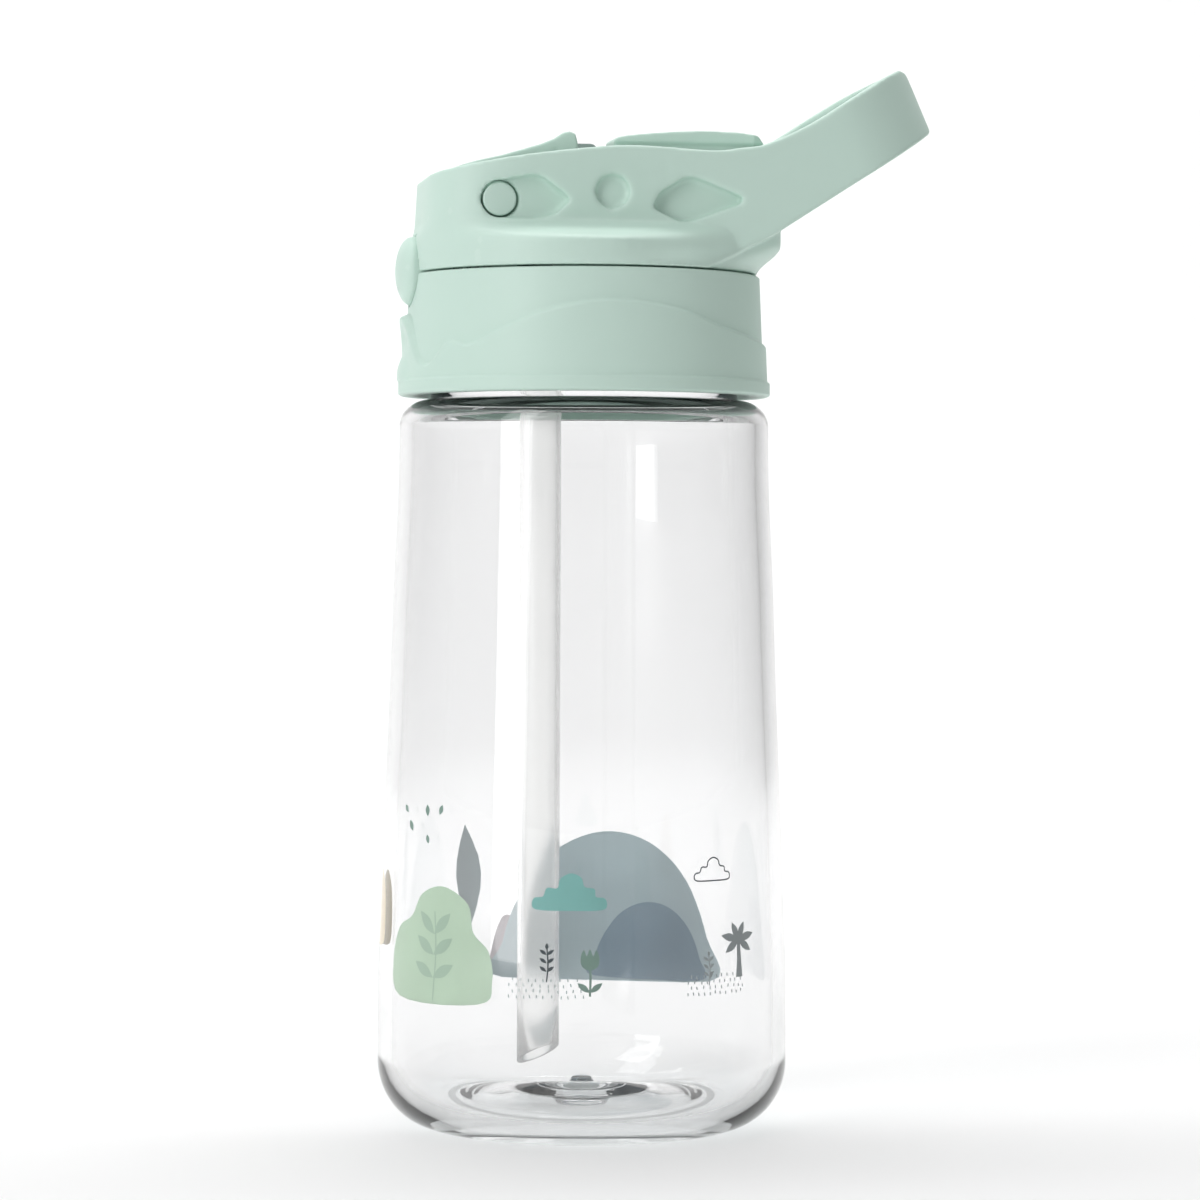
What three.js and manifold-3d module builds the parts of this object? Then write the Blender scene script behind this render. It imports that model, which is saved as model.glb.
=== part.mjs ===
// Kids water bottle: clear bottle, screw collar, carry-handle housing and a push-button drinking spout.
// Millimetres. +Z is up, the handle points to +X and the push button to -X. The origin is on the
// bottle's axis, at the surface it stands on.
import * as THREE from 'three';
import { mergeVertices } from 'three/addons/utils/BufferGeometryUtils.js';
import Module from 'manifold-3d';

const wasm = await Module();
wasm.setup();

// ---- driving dimensions -------------------------------------------------------------------------
const gap = 0.3; // between pieces that touch

const bottle = {
  wall: 2.5,
  foot: { radius: 26, cornerWidth: 11, cornerHeight: 12 }, // contact circle and the big bottom round
  side: [[37, 26], [36.5, 40], [35.9, 58], [35.1, 77], [34.5, 95], [33.5, 122]], // radius, height
  shoulder: { radius: 28.5, width: 5, height: 4.9, z: 126 },
  neck: { outer: 27.8, inner: 25.2, top: 143.5 },
  threads: { radius: 28.9, height: 1.6, z: [134, 138.5] },
  base: { ringInner: 22, recess: 2.4, padRadius: 4.5, floorEdge: 3.4, floorCentre: 7.4, nub: 1.9 },
};

const collar = {
  bottom: 131.7,
  top: 153.3,
  lip: { radius: 33.7, height: 2.8 },
  wall: { low: 32.6, high: 31.7, inner: 30.2 },
  bandProud: 0.65,
  beakProud: 1.55, // the pointed ridge under the button
  beakHalfAngle: 14, // degrees
  threads: { radius: 29.2, height: 1.3, z: [132.5, 136.8] },
};

// Height of the wavy band's edge, by the angle from the front (degrees).
const waveEdge = [
  [0, 146], [6, 145], [10, 142.4], [17, 137.6], [24, 136.8], [34, 140.6], [42, 139.8], [54, 142.4],
  [69, 145.6], [90, 147.5], [114, 145.8], [130, 143.3], [155, 141.4], [180, 140.7],
];

const housing = {
  bottom: 153.65,
  roundRadius: 31.8, // plan at the parting line
  front: 30.5,
  rear: 35.5,
  halfWidth: 21.3,
  squareness: 4, // exponent of the upper plan outline
  wall: 1.8,
  innerHalfWidth: 16.6,
  ledgeLow: 158,
  ledgeHigh: 162.3,
  rearFlareHigh: 158.6,
  rearInside: 31.4,
  rearWallTop: 172,
};

// The side outline of the rails and the carry handle (X, Z).
const railTop = [[-28.4, 170.9], [-14, 173.5], [2.5, 175.4], [12, 175.2], [20, 174.8], [25, 175.4]];
const handleTop = [[29.5, 176.2], [37.4, 179.9], [45, 184.7], [51.1, 188.5]];
const handleTip = [[55.7, 190.9], [57.8, 190.8], [58.9, 189.5], [61.1, 185.5], [63.2, 181.3]];
const handleUnder = [[62.4, 180], [45, 169.1], [31.3, 160.3], [17.2, 153.2]];
const handle = { thickness: 3.5, straightTo: 44, end: 63.3, lean: 23.7, leanZ: 181 };

const pivot = { x: -18.2, z: 165.7 };
const recessDepth = { kite: 1.9, shallow: 1.45 };
const stub = { head: 2.95, hole: 3.35, shaft: 2.3, headInner: 17, headOuter: 19.6, innerEnd: 8.8 };
const dimple = { x: 1.7, z: 167.2, radius: 3.1 };
const frontKite = [
  [-18.2, 169], [-11.4, 170.1], [-5.6, 165.7], [-8.6, 163], [-12.6, 162.2],
  [-18.2, 162.4],
];
const rearKite = [[15.4, 170.4], [26.4, 166.1], [14.6, 161.7], [8.8, 164.4], [10.2, 167.2]];

const lever = {
  halfWidth: 14.2, cheekInner: 11.4, frontInset: 4.6, plate: 1.8, bossHalfWidth: 6.4,
  barrel: 4.2,
};
const leverTop = [
  [-25.6, 171.3], [-25.2, 172.1], [-17, 174], [-10, 176.1], [-7.6, 177.1], [-6.2, 178.1],
  [-5, 178.4],
];
const leverLip = [[-3.9, 178], [-3.4, 176]];
const spout = { z: 171.7, nozzle: 3, bore: 2, radius: 5.9, start: -3, end: 24.4, inlet: -9 };
const feed = { outer: 2.9, inner: 2.3 };
const shield = { start: 2.7, end: 30.3, bottom: 169.5, halfWidth: 16.2, channel: 6.6, channelEnd: 26.8 };
const shieldTop = [
  [2.7, 176.2], [3.6, 177.6], [11, 178.5], [18, 178.9], [25, 178.8], [28.9, 178.3],
  [30.3, 176.6],
];

const button = { z: 154, radius: 6.15, pocket: 6.5, dome: 2.4, rim: -32, flatFrom: -27.8, flatHigh: 149.3 };
const deck = {
  radius: 29.9, bottom: 146.6, top: 148.9, skirtOuter: 24.8, skirtInner: 22,
  skirtBottom: 132.4,
};
const straw = { x: -8, outer: 3.8, inner: 3, top: 146, low: 11, cutRise: 4.2 };
const socket = {
  barrel: 4.9, bore: 4.1, bottom: 136, flange: 6.3, flangeTop: 150.7, spigot: 1.8,
  top: 152.6,
};
const vent = { x: 13, radius: 2.4 };

const coil = { wire: 0.4, sides: 6, stepsPerTurn: 12 };

// ---- materials ----------------------------------------------------------------------------------
const plastic = (color, roughness) => new THREE.MeshStandardMaterial({ color, roughness, metalness: 0 });
const mint = plastic('#bfe0d1', 0.45);
const mintDark = plastic('#a9cdbd', 0.5);
const silicone = plastic('#8fb5a3', 0.6);
const milky = plastic('#eef2f1', 0.4);
const clear = new THREE.MeshStandardMaterial({
  color: '#eef3f4', roughness: 0.05, metalness: 0, transparent: true, opacity: 0.3,
});
const steel = new THREE.MeshStandardMaterial({ color: '#b8bcc0', roughness: 0.3, metalness: 1 });

// ---- small helpers ------------------------------------------------------------------------------
const degrees = THREE.MathUtils.degToRad;
const smooth = (x, low, high) => THREE.MathUtils.smoothstep(x, low, high);

// A closed solid from any closed three.js geometry.
function solid(geometry) {
  const bare = geometry.index ? geometry.toNonIndexed() : geometry.clone();
  bare.deleteAttribute('normal');
  bare.deleteAttribute('uv');
  const merged = mergeVertices(bare, 1e-4);
  const index = Array.from(merged.index.array);
  const kept = [];
  for (let i = 0; i < index.length; i += 3) {
    const [a, b, c] = index.slice(i, i + 3);
    if (a !== b && b !== c && c !== a) kept.push(a, b, c);
  }
  const build = (triVerts) => new wasm.Manifold(new wasm.Mesh({
    numProp: 3,
    vertProperties: new Float32Array(merged.attributes.position.array),
    triVerts: new Uint32Array(triVerts),
  }));
  const body = build(kept);
  return body.volume() > 0 ? body : build(kept.reverse());
}

function mesh(name, body, material) {
  const { vertProperties, triVerts } = body.getMesh();
  const geometry = new THREE.BufferGeometry();
  geometry.setAttribute('position', new THREE.BufferAttribute(new Float32Array(vertProperties), 3));
  geometry.setIndex(new THREE.BufferAttribute(new Uint32Array(triVerts), 1));
  const flat = geometry.toNonIndexed();
  flat.computeVertexNormals();
  const node = new THREE.Mesh(flat, material);
  node.name = name;
  return node;
}

// A profile of [radius, height] points turned about the Z axis. It may also change with the angle.
function turned(profile, segments = 48) {
  const at = typeof profile === 'function' ? profile : () => profile;
  const points = at(0).map(([r, z]) => new THREE.Vector2(Math.max(r, 0), z));
  const geometry = new THREE.LatheGeometry(points, segments);
  const position = geometry.attributes.position;
  for (let i = 0; i <= segments; i += 1) {
    const angle = ((i % segments) / segments) * Math.PI * 2;
    at(angle).forEach(([r, z], j) => {
      position.setXYZ(i * points.length + j, r * Math.cos(angle), r * Math.sin(angle), z);
    });
  }
  return solid(geometry);
}

const ring = (inner, outer, low, high, segments) => turned(
  [[inner, low], [outer, low], [outer, high], [inner, high], [inner, low]], segments);

const disc = (radius, low, high, segments) => turned(
  [[0, low], [radius, low], [radius, high], [0, high]], segments);

// A piece turned about Z, laid along +X or along Y.
const alongX = (body, x, y, z) => body.rotate([0, 90, 0]).translate([x, y, z]);
const alongY = (body, x, y, z) => body.rotate([-90, 0, 0]).translate([x, y, z]);

// A side outline in X and Z, as wide as y runs from low to high.
function prism(shape, low, high, curveSegments = 6) {
  const geometry = new THREE.ExtrudeGeometry(shape, { depth: high - low, bevelEnabled: false, curveSegments });
  geometry.rotateX(Math.PI / 2);
  geometry.translate(0, high, 0);
  return solid(geometry);
}

function box(low, high) {
  const geometry = new THREE.BoxGeometry(high[0] - low[0], high[1] - low[1], high[2] - low[2]);
  geometry.translate((high[0] + low[0]) / 2, (high[1] + low[1]) / 2, (high[2] + low[2]) / 2);
  return solid(geometry);
}

const vectors = (points) => points.map(([x, y]) => new THREE.Vector2(x, y));
const both = (make) => make(-1).add(make(1));

function tube(points, section, steps) {
  const path = new THREE.CatmullRomCurve3(points.map((p) => new THREE.Vector3(...p)));
  return solid(new THREE.ExtrudeGeometry(section, { steps, extrudePath: path, curveSegments: 4 }));
}

function circle(radius, hole = 0) {
  const shape = new THREE.Shape().absarc(0, 0, radius, 0, Math.PI * 2, false);
  if (hole > 0) shape.holes.push(new THREE.Path().absarc(0, 0, hole, 0, Math.PI * 2, true));
  return shape;
}

class Helix extends THREE.Curve {
  constructor(radius, length, turns) {
    super();
    Object.assign(this, { radius, length, turns });
  }

  getPoint(t, target = new THREE.Vector3()) {
    const angle = t * this.turns * Math.PI * 2;
    return target.set(this.radius * Math.cos(angle), this.radius * Math.sin(angle), t * this.length);
  }
}

function spring(radius, length, turns) {
  const wire = new THREE.Shape();
  for (let i = 0; i < coil.sides; i += 1) {
    const angle = (i / coil.sides) * Math.PI * 2;
    const point = [coil.wire * Math.cos(angle), coil.wire * Math.sin(angle)];
    if (i === 0) wire.moveTo(...point);
    else wire.lineTo(...point);
  }
  wire.closePath();
  const extrudePath = new Helix(radius, length, turns);
  return solid(new THREE.ExtrudeGeometry(wire, { steps: turns * coil.stepsPerTurn, extrudePath }));
}

// A quarter round from one profile point to another, about the given centre.
function arc([cx, cz], width, height, from, to, count) {
  return Array.from({ length: count }, (_, i) => {
    const angle = degrees(from + ((to - from) * i) / (count - 1));
    return [cx + width * Math.cos(angle), cz + height * Math.sin(angle)];
  });
}

// ---- bottle -------------------------------------------------------------------------------------
function bottleBody() {
  const { foot, side, shoulder, neck, wall, base } = bottle;
  const around = 40;
  const outer = [
    [0, 0], [base.padRadius, 0], [base.padRadius + 0.9, base.recess], [base.ringInner - 2, base.recess],
    [base.ringInner, 0],
    ...arc([foot.radius, foot.cornerHeight], foot.cornerWidth, foot.cornerHeight, -90, 0, 7),
    ...side,
    ...arc([shoulder.radius, shoulder.z], shoulder.width, shoulder.height, 10, 90, 5),
    [neck.outer, shoulder.z + shoulder.height],
    [neck.outer, neck.top],
  ];
  const inner = [
    [neck.inner, neck.top],
    [neck.inner, shoulder.z + shoulder.height - wall],
    ...arc([shoulder.radius, shoulder.z], shoulder.width - wall, shoulder.height - wall, 80, 10, 4),
    ...side.toReversed().map(([r, z]) => [r - wall, z]),
    ...arc([foot.radius, foot.cornerHeight + 1], foot.cornerWidth - wall, foot.cornerHeight - wall, 0, -80, 6),
    [base.ringInner - 1, base.floorEdge], [15, 5], [8, 6.7], [3, base.floorCentre],
    [1.9, base.floorCentre + base.nub * 0.7], [0, base.floorCentre + base.nub],
  ];
  const { radius, height, z } = bottle.threads;
  return z.reduce(
    (body, low) => body.add(turned(
      [[neck.outer - 1, low - 0.4], [radius, low], [radius, low + height - 0.4], [neck.outer - 1, low + height],
        [neck.outer - 1, low - 0.4]], around)),
    turned([...outer, ...inner], around));
}

// ---- screw collar -------------------------------------------------------------------------------
// The wavy edge and how far it stands proud, at an angle about the Z axis.
function waveAt(angle) {
  const fromFront = Math.abs(THREE.MathUtils.radToDeg(angle) - 180);
  const next = Math.max(1, waveEdge.findIndex(([a]) => a >= fromFront));
  const [[a0, z0], [a1, z1]] = [waveEdge[next - 1], waveEdge[next]];
  const t = (fromFront - a0) / (a1 - a0);
  const beak = 1 - smooth(fromFront, 2, collar.beakHalfAngle);
  return {
    edge: z0 + (z1 - z0) * t * t * (3 - 2 * t),
    proud: collar.bandProud + (collar.beakProud - collar.bandProud) * beak,
  };
}

function screwCollar() {
  const { bottom, top, lip, wall } = collar;
  const wallAt = (z) => THREE.MathUtils.mapLinear(z, bottom, top, wall.low, wall.high);
  const shell = turned((angle) => {
    const { edge, proud } = waveAt(angle);
    return [
      [wall.inner, bottom], [lip.radius - 0.4, bottom], [lip.radius, bottom + 0.5],
      [lip.radius - 0.1, bottom + lip.height - 0.5],
      [wallAt(bottom + lip.height) + collar.bandProud, bottom + lip.height],
      [wallAt(edge - 1.6) + proud * 0.9, edge - 1.6],
      [wallAt(edge) + proud, edge - 0.5],
      [wallAt(edge) + proud * 0.6, edge + 0.2],
      [wallAt(edge + 1), edge + 1],
      [wallAt(top - 0.5), top - 0.5], [wallAt(top) - 0.4, top],
      [wall.inner, top], [wall.inner, bottom],
    ];
  }, 80);
  const { radius, height, z } = collar.threads;
  const threaded = z.reduce(
    (body, low) => body.add(turned(
      [[wall.inner + 0.5, low - 0.4], [wall.inner + 0.5, low + height], [radius, low + height - 0.4],
        [radius, low], [wall.inner + 0.5, low - 0.4]])),
    shell);
  return threaded.subtract(alongX(disc(button.pocket, 0, 10, 32), -37, 0, button.z));
}

function innerDeck() {
  const plate = disc(deck.radius, deck.bottom, deck.top, 48)
    .add(ring(deck.skirtInner, deck.skirtOuter, deck.skirtBottom, deck.bottom + 0.5, 48));
  const seat = box([-17.4, -5, deck.top - 0.5], [-15.8, 5, 157.6]); // the button spring pushes on it
  return plate
    .add(seat)
    .subtract(disc(socket.barrel + gap, 130, 150, 24).translate([straw.x, 0, 0]))
    .subtract(disc(vent.radius + gap, 130, 150, 16).translate([vent.x, 0, 0]))
    .subtract(alongX(disc(button.pocket, 0, 12, 32), -37, 0, button.z));
}

// ---- housing with the carry handle --------------------------------------------------------------
// The outer surface, moved in by inset: round at the parting line, flat-sided above it.
function housingLoft(inset, low, high, around = 84) {
  const heights = [154.8, 155.8, 157, 158.2, 158.9, 159.6, 160.3, 161, 161.7, 162.3]
    .filter((z) => z > low && z < high);
  const levels = [low, ...heights, high];
  const geometry = new THREE.CylinderGeometry(1, 1, 1, around, levels.length - 1);
  geometry.rotateX(Math.PI / 2);
  const position = geometry.attributes.position;
  const half = housing.halfWidth - inset;
  for (let i = 0; i < position.count; i += 1) {
    const level = Math.round((position.getZ(i) + 0.5) * (levels.length - 1));
    const z = levels[level];
    const reach = Math.hypot(position.getX(i), position.getY(i));
    const angle = Math.atan2(position.getY(i), position.getX(i));
    const [c, s] = [Math.cos(angle), Math.sin(angle)];
    const end = c > 0 ? housing.rear : housing.front - smooth(z, 158, 172) * 1.2;
    const power = (v) => Math.sign(v) * Math.abs(v) ** (2 / housing.squareness);
    const rearward = smooth(c, 0, 0.8);
    const squared = THREE.MathUtils.lerp(
      smooth(z, housing.ledgeLow, housing.ledgeHigh),
      smooth(z, housing.bottom, housing.rearFlareHigh), rearward);
    const round = housing.roundRadius - inset;
    const x = THREE.MathUtils.lerp(round * c, (end - inset) * power(c), squared);
    const y = THREE.MathUtils.lerp(round * s, half * power(s), squared);
    position.setXYZ(i, x * reach, y * reach, z);
  }
  return solid(geometry);
}

function sideOutline() {
  const shape = new THREE.Shape().moveTo(-40, 150).lineTo(-40, 169).lineTo(-30.4, 169);
  shape.quadraticCurveTo(-30, 170.7, ...railTop[0]);
  shape.splineThru(vectors([...railTop.slice(1), ...handleTop, handleTip[0]]));
  handleTip.slice(1).forEach((p) => shape.lineTo(...p));
  handleUnder.forEach((p) => shape.lineTo(...p));
  return shape.lineTo(17.2, 150).closePath();
}

function handleLoop() {
  const { thickness, straightTo, end, lean, leanZ } = handle;
  const outline = (path, inset) => {
    const halfWidth = housing.halfWidth - inset;
    path.moveTo(12, -halfWidth).lineTo(straightTo, -halfWidth);
    path.absellipse(straightTo, 0, end - straightTo - inset, halfWidth, -Math.PI / 2, Math.PI / 2, false);
    return path.lineTo(12, halfWidth);
  };
  const plan = (inset) => {
    const shape = outline(new THREE.Shape(), inset).closePath();
    const geometry = new THREE.ExtrudeGeometry(shape, { depth: 120, bevelEnabled: false, curveSegments: 28 });
    geometry.translate(-end, 0, -60);
    geometry.rotateY(-degrees(lean));
    geometry.translate(end, 0, leanZ);
    return solid(geometry);
  };
  return plan(0)
    .subtract(plan(thickness))
    .intersect(prism(sideOutline(), -25, 25, 5))
    .intersect(box([12, -25, 153.9], [70, 25, 200]));
}

function sideRecesses() {
  const kite = (points) => {
    const shape = new THREE.Shape();
    const middles = points.map(([x, z], i) => {
      const [nx, nz] = points[(i + 1) % points.length];
      return [(x + nx) / 2, (z + nz) / 2];
    });
    shape.moveTo(...middles.at(-1));
    points.forEach((p, i) => {
      const [px, pz] = middles.at(i - 1);
      const [mx, mz] = middles[i];
      const corner = (a, m) => THREE.MathUtils.lerp(m, a, 0.55);
      shape.lineTo(corner(p[0], px), corner(p[1], pz));
      shape.quadraticCurveTo(p[0], p[1], corner(p[0], mx), corner(p[1], mz));
    });
    return shape.closePath();
  };
  const at = (x, depth) => {
    const power = Math.abs(x) / (x > 0 ? housing.rear : housing.front - 0.4);
    const surface = housing.halfWidth * (1 - power ** housing.squareness) ** (1 / housing.squareness);
    return surface - depth;
  };
  const cut = (shape, x, depth) => both((side) => (
    side < 0 ? prism(shape, -25, -at(x, depth)) : prism(shape, at(x, depth), 25)));
  const round = new THREE.Shape().absarc(dimple.x, dimple.z, dimple.radius, 0, Math.PI * 2, false);
  return cut(kite(frontKite), pivot.x, recessDepth.shallow)
    .add(cut(kite(rearKite), 17, recessDepth.kite))
    .add(cut(round, dimple.x, recessDepth.shallow));
}

function lidHousing() {
  const { wall, innerHalfWidth, rearInside, rearWallTop, bottom } = housing;
  const profile = sideOutline();
  const underArm = handleUnder.slice(-2).toReversed();
  const overArm = new THREE.Shape(vectors([
    [-40, 150], [underArm[0][0], 150], ...underArm, [70, 185], [70, 200], [-40, 200]]));
  const outer = housingLoft(0, bottom, 178)
    .intersect(prism(overArm, -40, 40))
    .add(housingLoft(0.8, bottom, 178));
  const rearCut = box([rearInside, -innerHalfWidth, rearWallTop], [70, innerHalfWidth, 200]);
  const block = outer
    .intersect(prism(profile, -40, 40, 5).add(box([10, -40, 150], [40, 40, 162])))
    .subtract(rearCut);
  const upperRoom = housingLoft(wall, 150, 200, 64)
    .intersect(box([-40, -innerHalfWidth, 150], [rearInside, innerHalfWidth, 200]));
  const lowerRoom = housingLoft(wall + 0.6, 150, 155.2, 64);
  return block
    .subtract(upperRoom)
    .subtract(lowerRoom)
    .add(handleLoop())
    .subtract(sideRecesses())
    .subtract(alongY(disc(stub.hole, -30, 30, 24), pivot.x, 0, pivot.z))
    .subtract(alongX(disc(button.pocket, 0, 11, 32), -37, 0, button.z));
}

// ---- spout --------------------------------------------------------------------------------------
function spoutLever() {
  const under = leverTop.slice(1, 5).toReversed().map(([x, z]) => [x + 0.3, z - lever.plate]);
  const plate = new THREE.Shape(vectors([
    ...leverTop, ...leverLip, [-3.4, 173.6], [-7, 173.6], ...under, [-25.4, 170.6]]));
  const cheek = new THREE.Shape(vectors([
    [-3.6, 174.5], [-3.6, 169], [-14.6, 163.4], [-21, 164.4], [-21.5, 170.8], [-8, 174.6]]));
  const boss = new THREE.Shape(vectors([[-3.4, 175.5], [-3.4, 167.6], [-9, 167.6], [-9, 174.6]]));
  const nose = new THREE.Shape(vectors([[-20.4, 163], [-19.4, 159.6], [-17.4, 159.6], [-16, 163]]));
  const cheeks = both((side) => {
    const [low, high] = side < 0
      ? [-lever.halfWidth, -lever.cheekInner] : [lever.cheekInner, lever.halfWidth];
    return prism(cheek, low, high)
      .add(prism(nose, low, high))
      .add(alongY(disc(lever.barrel, low, high, 24), pivot.x, 0, pivot.z));
  });
  return prism(plate, -lever.halfWidth, lever.halfWidth)
    .intersect(housingLoft(lever.frontInset, 160, 190, 64))
    .add(cheeks)
    .add(prism(boss, -lever.bossHalfWidth, lever.bossHalfWidth))
    .subtract(alongX(disc(spout.nozzle + gap, 0, 12, 24), spout.inlet - 2, 0, spout.z))
    .subtract(alongY(disc(stub.shaft + gap, -30, 30, 20), pivot.x, 0, pivot.z))
    .subtract(feedTube(circle(feed.outer + gap)));
}

function hingeStub(side) {
  const { head, shaft, headInner, headOuter, innerEnd } = stub;
  const pin = turned([[0, innerEnd], [shaft, innerEnd], [shaft, headInner - 0.4], [head, headInner],
    [head, headOuter - 0.3], [head - 0.3, headOuter], [0, headOuter]], 24);
  return side > 0
    ? alongY(pin, pivot.x, 0, pivot.z)
    : alongY(pin.mirror([0, 0, 1]), pivot.x, 0, pivot.z);
}

function mouthpiece() {
  const { radius, bore, nozzle, start, end } = spout;
  const long = end - start;
  const hollow = nozzle + gap;
  return alongX(turned([
    [hollow, 0], [radius - 0.5, 0], [radius, 0.6], [radius, 4], [radius - 0.9, 5.2], [radius - 1.1, 9],
    [radius - 0.8, long - 5], [radius - 0.3, long - 2.4], [radius - 0.7, long - 0.6], [radius - 1.6, long],
    [bore, long], [bore, 12.2], [hollow, 12.2], [hollow, 0]], 32), start, 0, spout.z);
}

function spoutShield() {
  const { start, end, bottom, halfWidth, channel, channelEnd } = shield;
  const outline = new THREE.Shape().moveTo(start, bottom).lineTo(...shieldTop[0]);
  outline.splineThru(vectors(shieldTop.slice(1, 5)));
  shieldTop.slice(5).forEach((p) => outline.lineTo(...p));
  outline.lineTo(end, bottom).closePath();
  const room = both((side) => {
    const near = channel + 1.8;
    const far = halfWidth - 1.8;
    return side < 0
      ? box([start + 2, -far, 160], [end - 2, -near, 174.8])
      : box([start + 2, near, 160], [end - 2, far, 174.8]);
  });
  return prism(outline, -halfWidth, halfWidth, 4)
    .intersect(housingLoft(housing.wall + gap, 160, 190, 64))
    .subtract(box([start - 1, -channel, 160], [channelEnd, channel, 190]))
    .subtract(room);
}

// ---- button and latch ---------------------------------------------------------------------------
function pushButton() {
  const { radius, dome, rim, z } = button;
  const back = 5.6; // from the rim to the retaining flange
  const body = turned([[0, -dome], [radius * 0.45, -dome * 0.86], [radius * 0.75, -dome * 0.52],
    [radius * 0.95, -dome * 0.14], [radius, 0.5], [radius, back - 1.2], [radius + 1, back - 1.2],
    [radius + 1, back], [2.2, back], [2.2, back + 5.9], [0, back + 5.9]], 32);
  return alongX(body, rim, 0, z).subtract(box([button.flatFrom, -8, 140], [0, 8, button.flatHigh]));
}

function latchHook() {
  const plate = box([-26, -6, 149.6], [-24.8, 6, 158.6]).add(box([-25.2, -6, 157.4], [-23.6, 6, 158.6]));
  return plate.subtract(alongX(disc(4.1, 0, 6, 24), -28, 0, button.z));
}

// ---- drinking line ------------------------------------------------------------------------------
function strawTube() {
  const { outer, inner, top, low, cutRise, x } = straw;
  const cutter = new THREE.Shape(vectors([
    [x - outer - 1, low - 0.6], [x + outer + 1, low + cutRise + 0.5], [x + outer + 1, low - 9],
    [x - outer - 1, low - 9]]));
  return ring(inner, outer, low - 3, top, 24)
    .translate([x, 0, 0])
    .subtract(prism(cutter, -9, 9));
}

function strawSocket() {
  const { barrel, bore, bottom, flange, flangeTop, spigot, top } = socket;
  return turned([[bore, bottom], [barrel, bottom], [barrel, deck.top + gap], [flange, deck.top + gap],
    [flange, flangeTop], [spigot, flangeTop], [spigot, top], [1.3, top], [1.3, straw.top + gap],
    [bore, straw.top + gap], [bore, bottom]], 24).translate([straw.x, 0, 0]);
}

// The silicone tube from the straw socket to the nozzle, bent double under the closed spout.
function feedTube(section = circle(feed.outer, feed.inner)) {
  return tube([[straw.x, 0, socket.flangeTop + gap], [-8.1, 0, 153.2], [-10, 0, 157], [-13.6, 0, 161.4], [-15.6, 0, 165.6],
    [-13.6, 0, 168.8], [spout.inlet - 6 * gap, 0, spout.z - 0.8]], section, 24);
}

function ventValve() {
  return turned([[0, 143.6], [1.4, 144.2], [vent.radius, 146], [vent.radius, deck.top + gap],
    [4, deck.top + gap], [4, deck.top + 1.2], [0, deck.top + 1.4]], 20).translate([vent.x, 0, 0]);
}

// ---- assembly -----------------------------------------------------------------------------------
const part = new THREE.Group();
part.add(
  mesh('bottle_body', bottleBody(), clear),
  mesh('screw_collar', screwCollar(), mint),
  mesh('inner_deck', innerDeck(), mintDark),
  mesh('lid_gasket', ring(25, 28.6, bottle.neck.top + gap, deck.bottom - gap, 48), silicone),
  mesh('lid_housing', lidHousing(), mint),
  mesh('spout_shield', spoutShield(), mint),
  mesh('spout_lever', spoutLever(), mint),
  mesh('hinge_stub_left', hingeStub(-1), mint),
  mesh('hinge_stub_right', hingeStub(1), mint),
  mesh('torsion_spring', alongY(spring(3.3, 2.2, 3), pivot.x, -11, pivot.z), steel),
  mesh('spout_nozzle', alongX(ring(spout.bore, spout.nozzle, 0, 14, 20), spout.inlet, 0, spout.z), mintDark),
  mesh('mouthpiece', mouthpiece(), silicone),
  mesh('feed_tube', feedTube(), silicone),
  mesh('straw_socket', strawSocket(), mintDark),
  mesh('straw', strawTube(), milky),
  mesh('vent_valve', ventValve(), silicone),
  mesh('push_button', pushButton(), mint),
  mesh('latch_hook', latchHook(), mintDark),
  mesh('button_spring', alongX(spring(3.2, 7.6, 5), -25.7, 0, button.z), steel),
);

export default part;
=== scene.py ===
import math
import random

import bmesh
import bpy
from mathutils import Matrix, Vector
from mathutils.geometry import delaunay_2d_cdt


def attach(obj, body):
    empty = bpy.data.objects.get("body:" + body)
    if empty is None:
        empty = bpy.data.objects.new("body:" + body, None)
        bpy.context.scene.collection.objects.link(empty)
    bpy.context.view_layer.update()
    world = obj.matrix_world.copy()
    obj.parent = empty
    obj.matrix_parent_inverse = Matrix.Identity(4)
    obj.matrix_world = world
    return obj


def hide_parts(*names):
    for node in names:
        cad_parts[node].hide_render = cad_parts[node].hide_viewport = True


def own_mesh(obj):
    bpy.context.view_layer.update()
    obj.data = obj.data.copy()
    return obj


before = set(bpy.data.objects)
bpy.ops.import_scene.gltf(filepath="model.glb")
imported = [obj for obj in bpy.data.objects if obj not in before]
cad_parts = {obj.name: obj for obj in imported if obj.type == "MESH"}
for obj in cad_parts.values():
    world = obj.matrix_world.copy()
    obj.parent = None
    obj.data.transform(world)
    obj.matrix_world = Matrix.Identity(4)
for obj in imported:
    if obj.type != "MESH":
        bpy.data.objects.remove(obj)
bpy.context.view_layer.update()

mm = 0.001
random.seed(7)


# camera, stage and light
view = {
    "distance": 725 * mm,
    "height": 105.6 * mm,
    "azimuth": -9.0,  # degrees, towards the button side
    "lens": 120,
    "sensor": 36,
    "roll": 0.22,
    "shiftX": 0.0138,
    "shiftY": -0.0492,
}


def makeCamera():
    data = bpy.data.cameras.new("bottleCamera")
    data.lens = view["lens"]
    data.sensor_width = view["sensor"]
    data.shift_x = view["shiftX"]
    data.shift_y = view["shiftY"]
    data.clip_start = 0.01
    camera = bpy.data.objects.new("bottleCamera", data)
    turn = math.radians(view["azimuth"])
    distance = view["distance"]
    camera.location = (math.sin(turn) * distance, -math.cos(turn) * distance, view["height"])
    upright = Matrix.Rotation(turn, 4, "Z") @ Matrix.Rotation(math.pi / 2, 4, "X")
    camera.rotation_euler = (upright @ Matrix.Rotation(math.radians(view["roll"]), 4, "Z")).to_euler()
    bpy.context.collection.objects.link(camera)
    bpy.context.scene.camera = camera


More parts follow.
